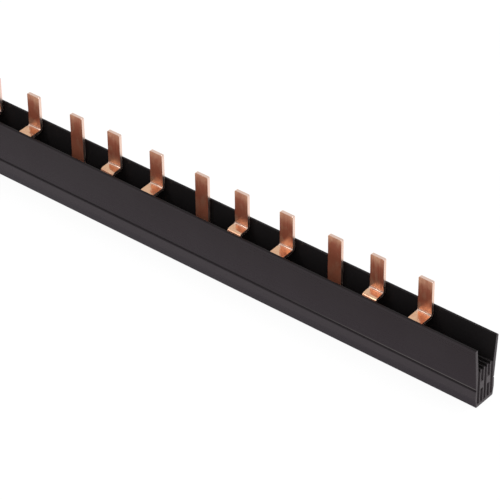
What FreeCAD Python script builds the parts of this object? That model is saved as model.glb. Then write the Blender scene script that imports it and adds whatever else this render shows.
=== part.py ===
"""Three-phase pin comb busbar: an insulating channel extrusion that holds three stamped copper combs.

The bar runs along X, its pins point up (+Z) and its front faces -Y. The origin is the middle of the flat
underside. One strip lies in each of the extrusion's three slots. The rear comb's pins stand straight up. The
middle and front combs step back over the separators in a short and a long jog, so all pins share one plane.
"""

import FreeCAD, Part
import os

import Sketcher

SIZES = {
    "pin_pitch": 17.8,
    "phases": 3,
    "pins_per_phase": 4,
    "end_margin": 25.3,
    "base_width": 8.5,
    "wall_height": 22.4,
    "top_width": 11.7,
    "rim_thickness": 1.0,
    "rim_outer_rounding": 0.5,
    "rim_inner_rounding": 0.15,
    "belt_width": 9.4,
    "belt_shoulder": 3.1,
    "belt_taper": 0.06,
    "belt_rounding": 1.0,
    "belt_top": 6.45,
    "groove_width": 0.55,
    "groove_depth": 0.35,
    "shoulder_step": 0.12,
    "foot_rounding": 0.3,
    "floor_thickness": 1.0,
    "slot_spacing": 3.3,
    "slot_clearance": 0.1,
    "separator_height": 13.8,
    "separator_leg": 0.42,
    "leg_rounding": 0.15,
    "web_bottom": 6.2,
    "web_thickness": 2.6,
    "strip_thickness": 1.1,
    "strip_height": 9.3,
    "strip_recess": 3.0,
    "front_comb_slide": 0.3,
    "front_comb_lean": 0.04,
    "middle_comb_lean": 0.2,
    "rear_comb_slide": 1.5,
    "pin_width": 5.2,
    "pin_length": 12.4,
    "rear_pins_short_by": 0.3,
    "step_height": 19.85,
    "step_droop": 0.25,
    "bend_radius": 0.5,
    "root_rounding": 1.0,
    "tip_rounding": 0.45,
}

SHEET = "Sizes"

# Two lengths in millimetres closer than this are taken as equal
TOLERANCE = 1e-4


def make_sheet(document):
    """The driving dimensions, one named cell each, with what follows from them below."""
    sheet = document.addObject("Spreadsheet::Sheet", SHEET)
    derived = {
        "bar_length": "=(phases * pins_per_phase - 1) * pin_pitch + 2 * end_margin",
        "slot_width": "=strip_thickness + slot_clearance",
        "phase_pitch": "=phases * pin_pitch",
        "inner_width": "=2 * slot_spacing + slot_width",
        "tip_height": "=step_height + pin_length",
    }
    rows = [(alias, str(value)) for alias, value in SIZES.items()]
    for row, (alias, content) in enumerate(rows + list(derived.items()), start=1):
        cell = "B%d" % row
        sheet.set("A%d" % row, alias)
        sheet.set(cell, content)
        sheet.setAlias(cell, alias)
    document.recompute()
    return sheet


def size(expression):
    """An expression over the sheet's names, written in full."""
    words = expression.replace("(", "( ").replace(")", " )").split()
    return " ".join("%s.%s" % (SHEET, word) if word[0].isalpha() else word for word in words)


def origin_part(body, role):
    """The plane or axis of the body's origin that has this role."""
    return next(part for part in body.Origin.OriginFeatures if part.Role == role)


def section(body, name, outlines, along="0"):
    """A sketch across the bar. Each outline is a list of corners, (across, up), given as expressions."""
    sketch = body.newObject("Sketcher::SketchObject", name)
    sketch.AttachmentSupport = [(origin_part(body, "YZ_Plane"), "")]
    sketch.MapMode = "FlatFace"
    sketch.setExpression("AttachmentOffset.Base.z", size(along))
    for corners in outlines:
        draw_outline(sketch, corners)
    return sketch


def draw_outline(sketch, corners):
    """A closed outline whose every corner is tied to the sheet."""
    ties = [(size(across), size(up)) for across, up in corners]
    points = [
        FreeCAD.Vector(float(sketch.evalExpression(across)), float(sketch.evalExpression(up)), 0)
        for across, up in ties
    ]
    first = sketch.GeometryCount
    count = len(points)
    for index, point in enumerate(points):
        sketch.addGeometry(Part.LineSegment(point, points[(index + 1) % count]))
    for index in range(count):
        following = first + (index + 1) % count
        sketch.addConstraint(Sketcher.Constraint("Coincident", first + index, 2, following, 1))
    for index, (across, up) in enumerate(ties):
        line = first + index
        for kind, value, tie in (("DistanceX", points[index].x, across), ("DistanceY", points[index].y, up)):
            number = sketch.addConstraint(Sketcher.Constraint(kind, -1, 1, line, 1, value))
            sketch.setExpression("Constraints[%d]" % number, tie)


def run_along(body, kind, name, sketch, length):
    """A pad or pocket of the section, as long on each side of it."""
    feature = body.newObject("PartDesign::" + kind, name)
    feature.Profile = sketch
    feature.SideType = "Symmetric"
    feature.setExpression("Length", size(length))
    body.Tip = feature
    body.Document.recompute()
    return feature


def repeat(body, name, feature, role, extent, copies):
    """Copies of a feature in a row along one axis of the body's origin."""
    pattern = body.newObject("PartDesign::LinearPattern", name)
    pattern.Originals = [feature]
    pattern.Direction = (origin_part(body, role), [""])
    pattern.setExpression("Length", size(extent))
    pattern.setExpression("Occurrences", size(copies))
    body.Tip = pattern
    body.Document.recompute()
    return pattern


def round_edges(body, name, radius, wanted):
    """A fillet on the edges for which wanted(edge) holds."""
    base = body.Tip
    names = ["Edge%d" % number for number, edge in enumerate(base.Shape.Edges, start=1) if wanted(edge)]
    fillet = body.newObject("PartDesign::Fillet", name)
    fillet.Base = (base, names)
    fillet.setExpression("Radius", size(radius))
    body.Tip = fillet
    body.Document.recompute()
    return fillet


def near(value, target):
    return abs(value - target) < TOLERANCE


def runs(edge, axis):
    """Whether the edge is straight and parallel to x, y or z, which is 0, 1 or 2."""
    if len(edge.Vertexes) != 2:
        return False
    span = edge.Vertexes[1].Point - edge.Vertexes[0].Point
    return near(abs(span[axis]), span.Length) and span.Length > TOLERANCE


def mirrored(points):
    """An outline from its right-hand corners, from the bottom up, and the same ones on the left."""
    return points + [("0 - (%s)" % across, up) for across, up in reversed(points)]


def rectangle(left, right, bottom, top):
    return [(left, bottom), (right, bottom), (right, top), (left, top)]


def make_profile(document):
    """The black extrusion: a floor, two leaning walls with a belt and groove, and two hollow separators."""
    body = document.addObject("PartDesign::Body", "insulating_profile")
    body.Label = "insulating_profile"
    right_side = [
        ("base_width / 2", "0"),
        ("belt_width / 2", "belt_shoulder"),
        ("belt_width / 2 - belt_taper", "belt_top"),
        ("belt_width / 2 - shoulder_step - groove_depth", "belt_top + groove_width / 2"),
        ("belt_width / 2 - shoulder_step", "belt_top + groove_width"),
        ("top_width / 2", "wall_height"),
    ]
    outside = section(body, "outside", [mirrored(right_side)])
    run_along(body, "Pad", "block", outside, "bar_length")

    channel = [
        ("0 - inner_width / 2", "separator_height"),
        ("inner_width / 2", "separator_height"),
        ("top_width / 2 - rim_thickness", "wall_height"),
        ("rim_thickness - top_width / 2", "wall_height"),
    ]
    run_along(body, "Pocket", "channel", section(body, "channel_outline", [channel]), "bar_length")

    strip_slot = rectangle(
        "0 - slot_spacing - slot_width / 2",
        "0 - slot_spacing + slot_width / 2",
        "floor_thickness",
        "separator_height",
    )
    slot_outline = section(body, "slot_outline", [strip_slot])
    slot = run_along(body, "Pocket", "strip_slot", slot_outline, "bar_length")
    repeat(body, "strip_slots", slot, "Y_Axis", "(phases - 1) * slot_spacing", "phases")

    left = "0 - slot_spacing + slot_width / 2 + separator_leg"
    right = "0 - slot_width / 2 - separator_leg"
    hollows = [
        rectangle(left, right, "web_bottom + web_thickness", "separator_height"),
        rectangle(left, right, "floor_thickness", "web_bottom"),
    ]
    hollow_outline = section(body, "hollow_outline", hollows)
    hollow = run_along(body, "Pocket", "separator_hollow", hollow_outline, "bar_length")
    repeat(body, "separator_hollows", hollow, "Y_Axis", "(phases - 2) * slot_spacing", "phases - 1")

    sheet = document.getObject(SHEET)
    outer_rim = sheet.top_width / 2
    for name, radius, across, up in (
        ("outer_rims", "rim_outer_rounding", [outer_rim], sheet.wall_height),
        ("inner_rims", "rim_inner_rounding", [outer_rim - sheet.rim_thickness], sheet.wall_height),
        ("belt", "belt_rounding", [sheet.belt_width / 2], sheet.belt_shoulder),
        ("feet", "foot_rounding", [sheet.base_width / 2], 0),
        ("leg_tops", "leg_rounding", separator_edges(sheet), sheet.separator_height),
    ):
        round_edges(
            body,
            name,
            radius,
            lambda edge: runs(edge, 0)
            and near(edge.Vertexes[0].Z, up)
            and any(near(abs(edge.Vertexes[0].Y), offset) for offset in across),
        )
    return body


def separator_edges(sheet):
    """How far from the middle of the bar the faces of the separators' legs stand."""
    edges = []
    for gap in range(int(sheet.phases) - 1):
        middle = (gap + 1 - sheet.phases / 2) * sheet.slot_spacing
        outer = (sheet.slot_spacing - sheet.slot_width) / 2
        for offset in (outer, outer - sheet.separator_leg):
            edges += [abs(middle - offset), abs(middle + offset)]
    return edges


def place_of(body, corner):
    """Where a corner given as expressions lies, (across, up)."""
    return tuple(float(body.evalExpression(size(expression))) for expression in corner)


def make_comb(document, name, slot_number, jog, tip, slide, lean="0"):
    """A stamped comb: one flat strip, and pins that rise from it and step back by jog slots.

    slot_number counts the slots from the middle one, towards the back. jog is how many slots the pins cross.
    tip is the height of the pins' ends over the strip's foot, and slide is how far the comb lies towards +X.
    lean is how far a jogged pin tips forward between the separators and its step, for each mm of height.
    """
    sheet = document.getObject(SHEET)
    body = document.addObject("PartDesign::Body", name)
    body.Label = name
    half = "strip_thickness / 2"
    strip = section(body, name + "_strip_outline", [rectangle("0 - " + half, half, "0", "strip_height")])
    run_along(body, "Pad", name + "_strip", strip, "bar_length - 2 * strip_recess")

    root = "strip_height - strip_thickness"
    if jog:
        knee = "separator_height - floor_thickness"
        step_top = "step_height - floor_thickness"
        step_bottom = step_top + " - strip_thickness"
        reach = "%d * slot_spacing" % jog
        # The step's two faces end lower at the front, where the leaning part meets them
        front_top = step_top + " - step_droop"
        front_bottom = step_bottom + " - step_droop"
        outer_front = ("0 - %s - %s * (%s - (%s))" % (half, lean, front_top, knee), front_top)
        inner_front = ("%s - %s * (%s - (%s))" % (half, lean, front_bottom, knee), front_bottom)
        inner_back = (reach + " - " + half, step_top)
        outer_back = (reach + " + " + half, step_bottom)
        outline = [
            ("0 - " + half, root),
            (half, root),
            (half, knee),
            inner_front,
            outer_back,
            (reach + " + " + half, tip),
            (reach + " - " + half, tip),
            inner_back,
            outer_front,
            ("0 - " + half, knee),
        ]
    else:
        outline = rectangle("0 - " + half, half, root, tip)
    # The last pin towards +X belongs to the front comb, then the middle, then the rear one
    place = "bar_length / 2 - end_margin - %d * pin_pitch - (pins_per_phase - 1) * phase_pitch" % (slot_number + 1)
    pin_outline = section(body, name + "_pin_outline", [outline], place)
    pin = run_along(body, "Pad", name + "_pin", pin_outline, "pin_width")
    repeat(body, name + "_pins", pin, "X_Axis", "(pins_per_phase - 1) * phase_pitch", "pins_per_phase")

    if jog:
        for label, radius, corners in (
            ("_inner_bends", "bend_radius", (inner_front, inner_back)),
            ("_outer_bends", "bend_radius + strip_thickness", (outer_front, outer_back)),
        ):
            places = [place_of(body, corner) for corner in corners]
            round_edges(
                body,
                name + label,
                radius,
                lambda edge: runs(edge, 0)
                and any(near(edge.Vertexes[0].Y, y) and near(edge.Vertexes[0].Z, z) for y, z in places),
            )
    strip_top = sheet.strip_height
    half_strip = sheet.bar_length / 2 - sheet.strip_recess
    pin_top = place_of(body, ("0", tip))[1]
    round_edges(
        body,
        name + "_roots",
        "root_rounding",
        lambda edge: runs(edge, 1)
        and near(edge.Vertexes[0].Z, strip_top)
        and not near(abs(edge.Vertexes[0].X), half_strip),
    )
    round_edges(
        body,
        name + "_tips",
        "tip_rounding",
        lambda edge: runs(edge, 1) and near(edge.Vertexes[0].Z, pin_top),
    )
    body.setExpression("Placement.Base.y", size("%d * slot_spacing" % slot_number))
    body.setExpression("Placement.Base.z", size("floor_thickness"))
    body.setExpression("Placement.Base.x", size(slide))
    document.recompute()
    return body


def check(document, bodies):
    """Stops if any object failed or any sub-part isn't one sound solid."""
    for thing in document.Objects:
        if "Invalid" in thing.State or "Error" in thing.State:
            raise RuntimeError("%s: %s" % (thing.Name, thing.State))
    for body in bodies:
        shape = body.Shape
        if shape.isNull() or not shape.isValid() or len(shape.Solids) != 1:
            raise RuntimeError("%s isn't one sound solid" % body.Label)
        print("%s %.1f mm3" % (body.Label, shape.Volume), shape.BoundBox)


def main():
    document = FreeCAD.newDocument("comb_busbar")
    make_sheet(document)
    jogged_tip = "tip_height - floor_thickness"
    bodies = [
        make_profile(document),
        make_comb(document, "front_phase_comb", -1, 2, jogged_tip, "front_comb_slide", "front_comb_lean"),
        make_comb(document, "middle_phase_comb", 0, 1, jogged_tip, "0", "middle_comb_lean"),
        make_comb(document, "rear_phase_comb", 1, 0, jogged_tip + " - rear_pins_short_by", "rear_comb_slide"),
    ]
    document.recompute()
    check(document, bodies)
    os.makedirs("parts", exist_ok=True)
    for body in bodies:
        body.Shape.exportStep("parts/%s.step" % body.Label)


main()
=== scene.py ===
"""Dresses the comb busbar: satin black extrusion and bare stamped copper, on a plain pale floor."""

import math

import bpy
from mathutils import Matrix, Vector


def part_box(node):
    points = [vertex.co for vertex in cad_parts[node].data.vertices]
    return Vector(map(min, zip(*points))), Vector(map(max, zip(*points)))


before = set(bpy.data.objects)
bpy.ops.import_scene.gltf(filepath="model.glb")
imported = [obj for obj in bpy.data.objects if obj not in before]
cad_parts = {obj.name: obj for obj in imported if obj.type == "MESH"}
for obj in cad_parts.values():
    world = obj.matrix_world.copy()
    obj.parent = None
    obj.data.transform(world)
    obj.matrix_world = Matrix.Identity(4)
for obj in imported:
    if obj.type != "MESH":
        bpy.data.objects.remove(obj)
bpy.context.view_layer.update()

MM = 0.001
PROFILE = "insulating_profile"
COMBS = ("front_phase_comb", "middle_phase_comb", "rear_phase_comb")
RIGHT_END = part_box(PROFILE)[1].x

# The photograph's camera: where it stands around the bar, and what it looks at near the bar's front foot
CAMERA_AZIMUTH = 39.840
CAMERA_ELEVATION = 36.326
CAMERA_ROLL = -0.630
CAMERA_DISTANCE = 0.862
CAMERA_LENS = 199.46
SENSOR_WIDTH = 36.0
TARGET_FROM_RIGHT_END = -0.087132
TARGET_FORWARD = -0.0044
TARGET_HEIGHT = 0.01871

# Heights on the bar that the finishes follow
BELT_SHOULDER = 3.1 * MM
GROOVE_HEIGHT = 6.725 * MM
SEPARATOR_TOP = 13.8 * MM
STEP_TOP = 19.85 * MM
WALL_TOP = 22.4 * MM
TIP_TOP = 32.25 * MM

# The pins' plane, and where the inside ends within the walls at the separators' tops and at the rims
PIN_PLANE = 3.3 * MM
HALF_CHANNEL_LOW = 4.2 * MM
HALF_CHANNEL_HIGH = 5.2 * MM

# Stretches over which one painted tone of the plastic turns into the next: heights, and places along the
# bar
SHOULDER_STRETCH = (BELT_SHOULDER - 0.5 * MM, BELT_SHOULDER + 0.5 * MM)
WALL_FOOT_STRETCH = (GROOVE_HEIGHT - 0.1 * MM, GROOVE_HEIGHT + 0.1 * MM)
RIM_STRETCH = (WALL_TOP - 0.85 * MM, WALL_TOP - 0.4 * MM)
MOUTH_TOP = SEPARATOR_TOP - 1.0 * MM
MOUTH_STRETCH = (RIGHT_END - 5.2 * MM, RIGHT_END - 0.7 * MM)
LIP_STRETCH = (0.03, 0.1)

# The same for the copper: heights, distances above the step, and places from front to rear
TIP_STRETCH = (TIP_TOP - 4.5 * MM, TIP_TOP - 0.3 * MM)
TOP_END_STRETCH = (TIP_TOP - 1.0 * MM, TIP_TOP - 0.5 * MM)
RIM_HEIGHT_STRETCH = (WALL_TOP - 4.0 * MM, WALL_TOP + 2.0 * MM)
BRIGHT_ABOVE_STEP = (0.8 * MM, 4.4 * MM)
SHINY_ABOVE_STEP = (0.8 * MM, 4.2 * MM)
BEND_STRETCH = (PIN_PLANE - 2.0 * MM, PIN_PLANE - 1.2 * MM)

# Half widths of the bands along the bar, from where a band is full to where it has faded out
GROOVE_BAND = (0.3 * MM, 0.8 * MM)
GROOVE_HEART = (0.22 * MM, 0.28 * MM)
LIP_ABOVE_GROOVE = 0.42 * MM
LIP_BAND = (0.12 * MM, 0.28 * MM)
BEND_ABOVE_STEP = 0.2 * MM
BEND_BAND = (0.3 * MM, 0.6 * MM)

# How squarely a face looks along an axis, from where it starts to count to where it counts in full
SQUARE = (0.6, 0.95)
ROUGHLY_SQUARE = (0.35, 0.9)
FLAT = (0.93, 0.99)

# Linear base colours of the plastic, most of them painted light and shade on the wall, belt, rims,
# groove, lip and inside
WALL_TOP_TONE = (0.0174, 0.0088, 0.0122, 1)
LIT_WALL_FOOT_TONE = (0.0252, 0.0155, 0.0213, 1)
LIT_UPPER_BELT_TONE = (0.061, 0.0495, 0.056, 1)
LOWER_BELT_TONE = (0.0267, 0.0165, 0.0247, 1)
INSIDE_LIFTED_TONE = (0.0215, 0.019, 0.0195, 1)
RIM_TOP_SHADE = (0.01, 0.007, 0.008, 1)
RIM_SIDE_LIGHT = (0.034, 0.026, 0.03, 1)
LIP_HIGHLIGHT_TONE = (0.12, 0.105, 0.105, 1)
GROOVE_TONE = (0.03, 0.023, 0.027, 1)
GROOVE_EDGE_SHADE = (0.007, 0.003, 0.005, 1)
SAWN_TONE = (0.096, 0.082, 0.088, 1)
MOUTH_TONE = (0.114, 0.098, 0.105, 1)
MOTTLE_TONE = (0.08, 0.07, 0.075, 1)
MOTTLE_SHARE = 0.06

# Linear base colours of the copper, from painted light to painted shade, and the tint of its sheen
BRIGHT_COPPER = (0.89, 0.56, 0.36, 1)
HIGHLIGHT_COPPER = (0.92, 0.69, 0.595, 1)
SHEEN_OF_COPPER = (1.0, 0.72, 0.5, 1)
SHADED_COPPER = (0.43, 0.127, 0.073, 1)
BELOW_RIM_LIT_COPPER = (0.66, 0.21, 0.12, 1)

# Noise patterns: lines run along the bar on the plastic, and up the pins on the copper
DIE_LINES = {"scale": 900.0, "detail": 3.0, "stretch": (0.004, 1, 1)}
GRAIN = {"scale": 2600.0, "detail": 2.0}
MOTTLE = {"scale": 60.0, "detail": 3.0}
ROLLED_LINES = {"scale": 1100.0, "detail": 5.0, "roughness": 0.6, "stretch": (1, 0.02, 0.02)}
CLOUDS = {"scale": 420.0, "detail": 5.0, "roughness": 0.65, "stretch": (1, 1, 0.5)}
DENTS = {"scale": 450.0, "detail": 2.0}
NOISE_SPAN = (0.3, 0.7)
LINE_SPAN = (0.35, 0.65)

# Gloss of the plastic: its roughness across the die lines, and what is added to it or taken off
PLASTIC_ROUGHNESS = (0.24, 0.31)
GRAIN_ROUGHNESS = 0.05
SMOOTHER_INSIDE = 0.14
ROUGHER_SAWN = 0.2
PLASTIC_SPECULAR = 0.12

# Gloss of the copper, and how much brighter and shinier it is at the pins' tips (painted highlight) and
# above the steps (painted reflection)
COPPER_METALLIC = (0.25, 0.97)
UPRIGHT_ROUGHNESS = 0.27
LEVEL_ROUGHNESS = 0.16
LINE_ROUGHNESS = 0.05
TIP_HIGHLIGHT = 0.34
STEP_REFLECTION = 0.42
STEP_SHINE = 0.2
BEND_HIGHLIGHT = 0.6
CLOUD_WEAR = 0.2
LINE_WEAR = 0.03

# Bumps: strength, and depth in metres
FINE_BUMP_DEPTH = 0.01 * MM
DENT_DEPTH = 0.16 * MM
DIE_LINE_BUMP = 0.25
GRAIN_BUMP = 0.12
ROLLED_LINE_BUMP = 0.08

# Edges rounded in the render
COPPER_EDGE = 0.25 * MM
PLASTIC_EDGE = 0.04 * MM
EDGE_SEGMENTS = 3
SHARP_ANGLE = 35
WELD_DISTANCE = 0.002 * MM
FLAT_FACE_WEIGHT = 100

# The studio: strengths of the world and the floor, and the lamps, which all aim at the bar's middle
WORLD_LIGHT = 0.6
WORLD_MIRRORED = 0.74
FLOOR_SIZE = 30
FLOOR_DROP = 0.05 * MM
FLOOR_TONE = (0.85, 0.85, 0.85, 1)
FLOOR_SHADE = (0.12, 0.12, 0.12, 1)
FLOOR_GLOW = 0.92
WHITE = (1, 1, 1, 1)
LAMPS = (  # name, place, width, height, watts
    ("overhead", (0.3, 0.2, 1.2), 0.8, 0.8, 5.0),
    ("front_left", (-0.54, -0.8, 0.9), 0.2, 0.5, 1.1),
)


def make_camera():
    azimuth, elevation = math.radians(CAMERA_AZIMUTH), math.radians(CAMERA_ELEVATION)
    roll = math.radians(CAMERA_ROLL)
    back = Vector(
        (
            math.sin(azimuth) * math.cos(elevation),
            -math.cos(azimuth) * math.cos(elevation),
            math.sin(elevation),
        )
    )
    level_right = Vector((math.cos(azimuth), math.sin(azimuth), 0))
    level_up = back.cross(level_right)
    right = math.cos(roll) * level_right + math.sin(roll) * level_up
    up = back.cross(right)
    target = Vector((RIGHT_END + TARGET_FROM_RIGHT_END, TARGET_FORWARD, TARGET_HEIGHT))
    data = bpy.data.cameras.new("camera")
    data.lens = CAMERA_LENS
    data.sensor_width = SENSOR_WIDTH
    camera = bpy.data.objects.new("camera", data)
    turn = Matrix((right, up, back)).transposed().to_4x4()
    camera.matrix_world = Matrix.Translation(target + CAMERA_DISTANCE * back) @ turn
    bpy.context.scene.collection.objects.link(camera)
    bpy.context.scene.camera = camera


class Nodes:
    """A short way to write a node tree: beside add, each call that makes a node returns its output."""

    def __init__(self, tree):
        self.tree = tree
        tree.nodes.clear()

    def add(self, kind, **settings):
        node = self.tree.nodes.new(kind)
        for name, value in settings.items():
            setattr(node, name, value)
        return node

    def link(self, source, target):
        self.tree.links.new(source, target)

    def feed(self, socket, value):
        """Links an output, or sets a plain value."""
        if isinstance(value, bpy.types.NodeSocket):
            self.link(value, socket)
        else:
            socket.default_value = value

    def math(self, operation, first, second=0.0):
        node = self.add("ShaderNodeMath", operation=operation)
        self.feed(node.inputs[0], first)
        self.feed(node.inputs[1], second)
        return node.outputs[0]

    def absolute(self, value):
        return self.math("ABSOLUTE", value)

    def times(self, first, second):
        return self.math("MULTIPLY", first, second)

    def plus(self, first, second):
        return self.math("ADD", first, second)

    def minus(self, first, second):
        return self.math("SUBTRACT", first, second)

    def larger(self, first, second):
        return self.math("MAXIMUM", first, second)

    def below(self, value, limit):
        return self.math("LESS_THAN", value, limit)

    def axes(self, vector):
        node = self.add("ShaderNodeSeparateXYZ")
        self.link(vector, node.inputs[0])
        return node.outputs

    def spread(self, value, low, high, to_low=0.0, to_high=1.0, smooth=True):
        """value from low..high carried to to_low..to_high, clamped."""
        shape = "SMOOTHSTEP" if smooth else "LINEAR"
        node = self.add("ShaderNodeMapRange", interpolation_type=shape)
        self.feed(node.inputs["Value"], value)
        self.feed(node.inputs["From Min"], low)
        self.feed(node.inputs["From Max"], high)
        self.feed(node.inputs["To Min"], to_low)
        self.feed(node.inputs["To Max"], to_high)
        return node.outputs["Result"]

    def band(self, value, centre, full_to, faded_at):
        """1 near the centre, 0 away from it."""
        return self.spread(self.absolute(self.minus(value, centre)), full_to, faded_at, 1.0, 0.0)

    def noise(self, vector, scale, detail, roughness=0.55, stretch=(1, 1, 1)):
        mapping = self.add("ShaderNodeMapping")
        mapping.inputs["Scale"].default_value = stretch
        self.link(vector, mapping.inputs["Vector"])
        node = self.add("ShaderNodeTexNoise")
        node.inputs["Scale"].default_value = scale
        node.inputs["Detail"].default_value = detail
        node.inputs["Roughness"].default_value = roughness
        self.link(mapping.outputs["Vector"], node.inputs["Vector"])
        return node.outputs["Fac"]

    def mix(self, factor, first, second):
        node = self.add("ShaderNodeMix", data_type="RGBA")
        self.feed(node.inputs["Factor"], factor)
        self.feed(node.inputs["A"], first)
        self.feed(node.inputs["B"], second)
        return node.outputs["Result"]

    def bump(self, height, strength, depth, normal=None):
        node = self.add("ShaderNodeBump")
        node.inputs["Distance"].default_value = depth
        self.feed(node.inputs["Strength"], strength)
        self.link(height, node.inputs["Height"])
        if normal is not None:
            self.link(normal, node.inputs["Normal"])
        return node.outputs["Normal"]


def start_material(name):
    """A new material with its shader, the place on the bar and the way the face looks."""
    material = bpy.data.materials.new(name)
    material.use_nodes = True
    nodes = Nodes(material.node_tree)
    shader = nodes.add("ShaderNodeBsdfPrincipled")
    output = nodes.add("ShaderNodeOutputMaterial")
    nodes.link(shader.outputs["BSDF"], output.inputs["Surface"])
    place = nodes.add("ShaderNodeTexCoord").outputs["Object"]
    facing = nodes.axes(nodes.add("ShaderNodeNewGeometry").outputs["Normal"])
    return material, nodes, shader, place, facing


def black_plastic():
    """Extruded black plastic with a purplish cast: lines along the bar from the die, paler sawn ends,
    and painted light and shade.
    """
    material, nodes, shader, place, facing = start_material("black_plastic")
    across, forward, height = nodes.axes(place)
    die_lines = nodes.noise(place, **DIE_LINES)
    grain = nodes.noise(place, **GRAIN)
    mottle = nodes.noise(place, **MOTTLE)

    # Painted light: the wall is a little paler towards its foot, and of the belt's two facets the upper
    # one is paler
    up_the_wall = nodes.spread(height, GROOVE_HEIGHT, WALL_TOP, smooth=False)
    wall = nodes.mix(up_the_wall, LIT_WALL_FOOT_TONE, WALL_TOP_TONE)
    belt = nodes.mix(nodes.spread(height, *SHOULDER_STRETCH), LOWER_BELT_TONE, LIT_UPPER_BELT_TONE)
    in_wall = nodes.spread(height, *WALL_FOOT_STRETCH)
    # Painted light: the rim's rounded side below its top is paler
    rim = nodes.spread(height, *RIM_STRETCH)
    outside = nodes.mix(in_wall, belt, nodes.mix(rim, wall, RIM_SIDE_LIGHT))

    # Painted shade darkens the groove, most along its edges, and a painted highlight makes the wall's
    # edge above it paler towards the right end
    groove_heart = nodes.band(height, GROOVE_HEIGHT, *GROOVE_HEART)
    groove_shade = nodes.mix(groove_heart, GROOVE_EDGE_SHADE, GROOVE_TONE)
    outside = nodes.mix(nodes.band(height, GROOVE_HEIGHT, *GROOVE_BAND), outside, groove_shade)
    lip_highlight = nodes.band(height, GROOVE_HEIGHT + LIP_ABOVE_GROOVE, *LIP_BAND)
    lip_highlight = nodes.times(lip_highlight, nodes.spread(across, *LIP_STRETCH))
    outside = nodes.mix(lip_highlight, outside, LIP_HIGHLIGHT_TONE)

    # Painted light lifts the channel's inside to a paler tone, and light reaching a little way into the
    # chambers' open ends is painted paler still
    near_end = nodes.spread(nodes.absolute(across), *MOUTH_STRETCH, smooth=False)
    mouth = nodes.times(near_end, nodes.below(height, MOUTH_TOP))
    inner_painted_light = nodes.mix(mouth, INSIDE_LIFTED_TONE, MOUTH_TONE)

    # Painted shade: the rim's level top is darker
    rim_top = nodes.times(rim, nodes.spread(facing[2], *SQUARE))
    inner_reach = nodes.spread(
        height, SEPARATOR_TOP, WALL_TOP, HALF_CHANNEL_LOW, HALF_CHANNEL_HIGH, smooth=False
    )
    within = nodes.below(nodes.absolute(forward), inner_reach)
    inside = nodes.times(within, nodes.minus(1.0, rim_top))
    # The sawn ends are paler: partly their matt sawn finish, partly painted light on these end faces
    sawn = nodes.spread(nodes.absolute(facing[0]), *SQUARE)
    colour = nodes.mix(rim_top, nodes.mix(inside, outside, inner_painted_light), RIM_TOP_SHADE)
    colour = nodes.mix(sawn, colour, SAWN_TONE)
    patches = nodes.spread(mottle, *NOISE_SPAN, 0.0, MOTTLE_SHARE)
    nodes.link(nodes.mix(patches, colour, MOTTLE_TONE), shader.inputs["Base Color"])

    # The channel's inside is glossy, the outside satin and the sawn ends matt
    roughness = nodes.plus(
        nodes.spread(die_lines, *NOISE_SPAN, *PLASTIC_ROUGHNESS),
        nodes.spread(grain, *NOISE_SPAN, 0.0, GRAIN_ROUGHNESS),
    )
    roughness = nodes.minus(roughness, nodes.times(inside, SMOOTHER_INSIDE))
    roughness = nodes.plus(roughness, nodes.times(sawn, ROUGHER_SAWN))
    nodes.link(roughness, shader.inputs["Roughness"])
    shader.inputs["Specular IOR Level"].default_value = PLASTIC_SPECULAR
    coarse = nodes.bump(die_lines, DIE_LINE_BUMP, FINE_BUMP_DEPTH)
    nodes.link(nodes.bump(grain, GRAIN_BUMP, FINE_BUMP_DEPTH, coarse), shader.inputs["Normal"])
    return material


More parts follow.
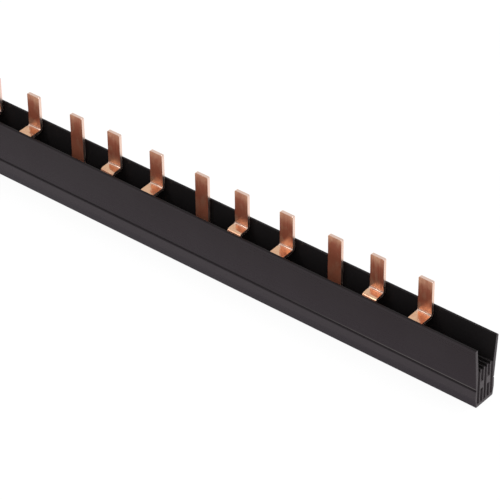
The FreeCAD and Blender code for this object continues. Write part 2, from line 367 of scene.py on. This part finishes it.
def copper(name, stepped):
    """Bare rolled copper: lines along each pin, painted shade on upright faces, painted highlights where
    level, cut or bent.
    """
    material, nodes, shader, place, facing = start_material(name)
    forward, height = nodes.axes(place)[1:]
    upward = nodes.absolute(facing[2])
    lines = nodes.noise(place, **ROLLED_LINES)
    clouds = nodes.noise(place, **CLOUDS)

    # Painted light: level faces and tips are bright, and the pins' cut sides and top ends get painted
    # highlights
    level = nodes.spread(upward, *ROUGHLY_SQUARE)
    tip_highlight = nodes.spread(height, *TIP_STRETCH, 0.0, TIP_HIGHLIGHT)
    at_top = nodes.spread(height, *TOP_END_STRETCH)
    sideways = nodes.spread(nodes.absolute(facing[0]), *ROUGHLY_SQUARE)
    cut_highlight = nodes.larger(nodes.times(level, at_top), sideways)
    bright = nodes.larger(level, tip_highlight)
    shine = nodes.larger(bright, cut_highlight)
    if stepped:
        # Painted reflection of the step: each pin is a little brighter and shinier just above its step
        above_step = nodes.minus(height, STEP_TOP)
        glow = nodes.spread(above_step, *BRIGHT_ABOVE_STEP, STEP_REFLECTION, 0.0)
        sheen = nodes.spread(above_step, *SHINY_ABOVE_STEP, STEP_SHINE, 0.0)
        bright = nodes.larger(bright, glow)
        shine = nodes.larger(shine, sheen)
    wear = nodes.plus(
        nodes.spread(clouds, *NOISE_SPAN, -CLOUD_WEAR, CLOUD_WEAR),
        nodes.spread(lines, *LINE_SPAN, -LINE_WEAR, LINE_WEAR),
    )
    bright = nodes.plus(bright, wear)
    shine = nodes.plus(shine, wear)

    # Painted light makes the faces below the walls' rims a lighter, redder copper, and painted
    # highlights make the cut edges the palest
    shaded_tint = nodes.mix(nodes.spread(height, *RIM_HEIGHT_STRETCH), BELOW_RIM_LIT_COPPER, SHADED_COPPER)
    tint = nodes.mix(nodes.spread(bright, 0, 1, smooth=False), shaded_tint, BRIGHT_COPPER)
    tint = nodes.mix(cut_highlight, tint, HIGHLIGHT_COPPER)
    normal = None
    if stepped:
        # A painted highlight makes the bend pale, and the level step is a little dented
        bend_highlight = nodes.times(
            nodes.band(above_step, BEND_ABOVE_STEP, *BEND_BAND),
            nodes.spread(forward, *BEND_STRETCH),
        )
        tint = nodes.mix(nodes.times(bend_highlight, BEND_HIGHLIGHT), tint, HIGHLIGHT_COPPER)
        dents = nodes.noise(place, **DENTS)
        normal = nodes.bump(dents, nodes.spread(upward, *FLAT), DENT_DEPTH)
    nodes.link(tint, shader.inputs["Base Color"])

    metallic = nodes.spread(shine, 0, 1, *COPPER_METALLIC, smooth=False)
    nodes.link(metallic, shader.inputs["Metallic"])
    roughness = nodes.plus(
        nodes.spread(level, 0, 1, UPRIGHT_ROUGHNESS, LEVEL_ROUGHNESS, smooth=False),
        nodes.spread(lines, *NOISE_SPAN, 0.0, LINE_ROUGHNESS),
    )
    nodes.link(roughness, shader.inputs["Roughness"])
    shader.inputs["Specular Tint"].default_value = SHEEN_OF_COPPER
    rolled = nodes.bump(lines, ROLLED_LINE_BUMP, FINE_BUMP_DEPTH, normal)
    nodes.link(rolled, shader.inputs["Normal"])
    return material


def soften(piece, width):
    """Rounds a CAD piece's sharp edges in the render and shades it smooth, with its flats kept flat."""
    weld = piece.modifiers.new("joined_faces", "WELD")
    weld.merge_threshold = WELD_DISTANCE
    bevel = piece.modifiers.new("soft_edges", "BEVEL")
    bevel.width = width
    bevel.segments = EDGE_SEGMENTS
    bevel.limit_method = "ANGLE"
    bevel.angle_limit = math.radians(SHARP_ANGLE)
    flats = piece.modifiers.new("flat_faces", "WEIGHTED_NORMAL")
    flats.mode = "FACE_AREA"
    flats.weight = FLAT_FACE_WEIGHT


def dress(name, material, edge):
    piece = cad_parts[name]
    piece.data.materials.clear()
    piece.data.materials.append(material)
    soften(piece, edge)


def make_floor():
    """A pale floor that reads as white to the eye and in reflections, and keeps a faint shadow."""
    bpy.ops.mesh.primitive_plane_add(size=FLOOR_SIZE, location=(0, 0, -FLOOR_DROP))
    floor = bpy.context.object
    floor.name = "floor"
    material = bpy.data.materials.new("floor")
    material.use_nodes = True
    nodes = Nodes(material.node_tree)
    diffuse = nodes.add("ShaderNodeBsdfDiffuse")
    diffuse.inputs["Color"].default_value = FLOOR_TONE
    shade = nodes.add("ShaderNodeBsdfDiffuse")
    shade.inputs["Color"].default_value = FLOOR_SHADE
    glow = nodes.add("ShaderNodeEmission")
    glow.inputs["Color"].default_value = WHITE
    glow.inputs["Strength"].default_value = FLOOR_GLOW
    seen = nodes.add("ShaderNodeAddShader")
    nodes.link(shade.outputs[0], seen.inputs[0])
    nodes.link(glow.outputs[0], seen.inputs[1])
    path = nodes.add("ShaderNodeLightPath")
    either = nodes.larger(path.outputs["Is Camera Ray"], path.outputs["Is Glossy Ray"])
    either = nodes.larger(either, path.outputs["Is Transmission Ray"])
    choose = nodes.add("ShaderNodeMixShader")
    nodes.link(either, choose.inputs[0])
    nodes.link(diffuse.outputs[0], choose.inputs[1])
    nodes.link(seen.outputs[0], choose.inputs[2])
    output = nodes.add("ShaderNodeOutputMaterial")
    nodes.link(choose.outputs[0], output.inputs["Surface"])
    floor.data.materials.append(material)


def make_world():
    """An even pale studio: white to the eye, and a little brighter in reflections than as light."""
    world = bpy.data.worlds.new("studio")
    bpy.context.scene.world = world
    world.use_nodes = True
    nodes = Nodes(world.node_tree)
    path = nodes.add("ShaderNodeLightPath")
    mirrored = nodes.spread(
        path.outputs["Is Glossy Ray"], 0, 1, WORLD_LIGHT, WORLD_MIRRORED, smooth=False
    )
    strength = nodes.larger(mirrored, path.outputs["Is Camera Ray"])
    background = nodes.add("ShaderNodeBackground")
    background.inputs["Color"].default_value = WHITE
    nodes.link(strength, background.inputs["Strength"])
    output = nodes.add("ShaderNodeOutputWorld")
    nodes.link(background.outputs[0], output.inputs["Surface"])


def make_lamp(name, place, width, height, power):
    data = bpy.data.lights.new(name, "AREA")
    data.shape = "RECTANGLE"
    data.size = width
    data.size_y = height
    data.energy = power
    lamp = bpy.data.objects.new(name, data)
    lamp.location = place
    lamp.rotation_mode = "QUATERNION"
    lamp.rotation_quaternion = Vector(place).to_track_quat("Z", "Y")
    bpy.context.scene.collection.objects.link(lamp)


bpy.context.scene.view_settings.view_transform = "Standard"
make_camera()
make_world()
make_floor()
for lamp in LAMPS:
    make_lamp(*lamp)
dress(PROFILE, black_plastic(), PLASTIC_EDGE)
stepped_copper = copper("copper", True)
for comb in COMBS[:2]:
    dress(comb, stepped_copper, COPPER_EDGE)
dress(COMBS[2], copper("straight_copper", False), COPPER_EDGE)
